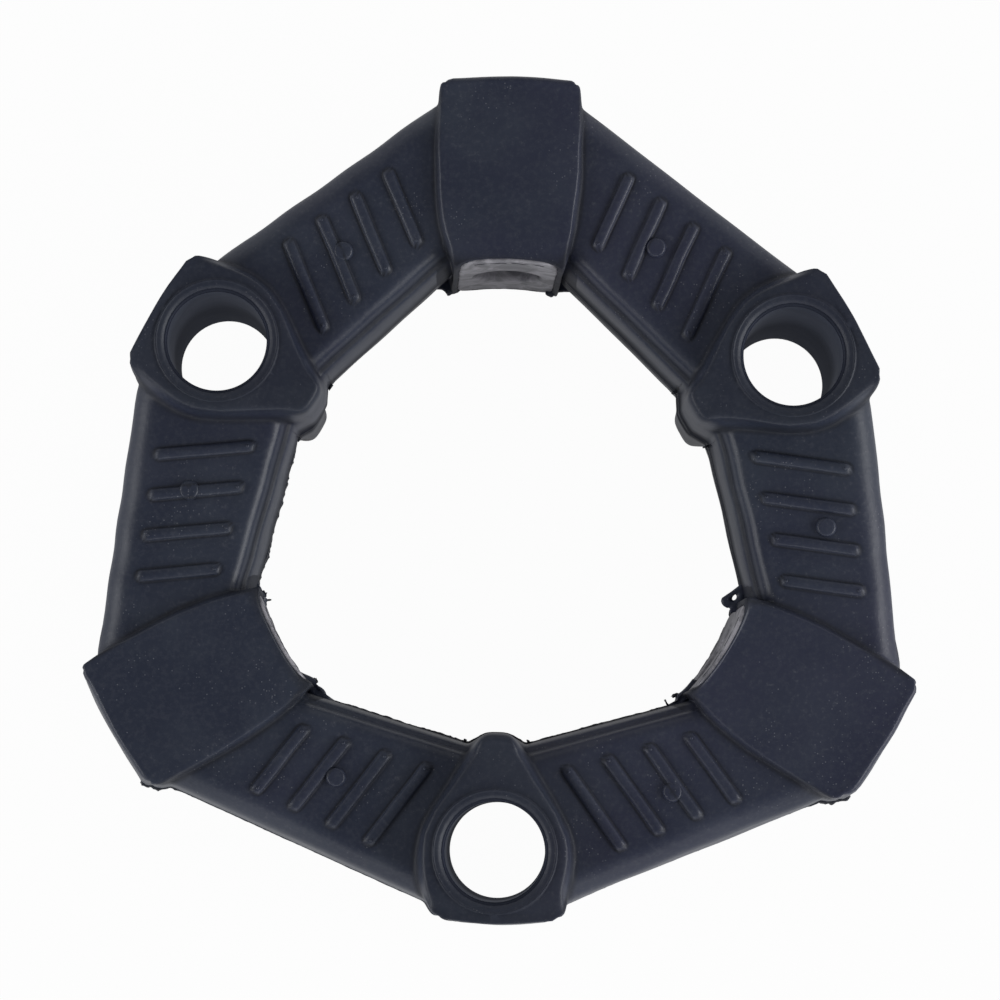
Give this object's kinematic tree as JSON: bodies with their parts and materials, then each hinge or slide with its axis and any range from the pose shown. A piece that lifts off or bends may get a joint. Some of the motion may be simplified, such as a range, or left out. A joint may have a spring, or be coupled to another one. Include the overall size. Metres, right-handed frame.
{
  "type": "flexible rubber coupling",
  "caption": "Moulded rubber ring that joins two shafts end to end, with sleeved bosses bolted along the shaft, metal inserts bolted across it, and ribbed arms between.",
  "frame": {"origin": "on the shaft axis, at half height between the boss faces", "axes": "+Z along the shaft axis, out of the face with the small discs; +Y towards the middle of the first radial block"},
  "size_m": [0.2074, 0.2111, 0.058],
  "materials": {
    "rubber": "satin, dusty",
    "insert_metal": "dull, stained",
    "sleeve_metal": "satin primer"
  },
  "bodies": {
    "root": {"rubber_body": "rubber", "axial_sleeve_1": "sleeve_metal", "axial_sleeve_2": "sleeve_metal", "axial_sleeve_3": "sleeve_metal", "radial_insert_1": "insert_metal", "radial_insert_2": "insert_metal", "radial_insert_3": "insert_metal"}
  },
  "joints": []
}
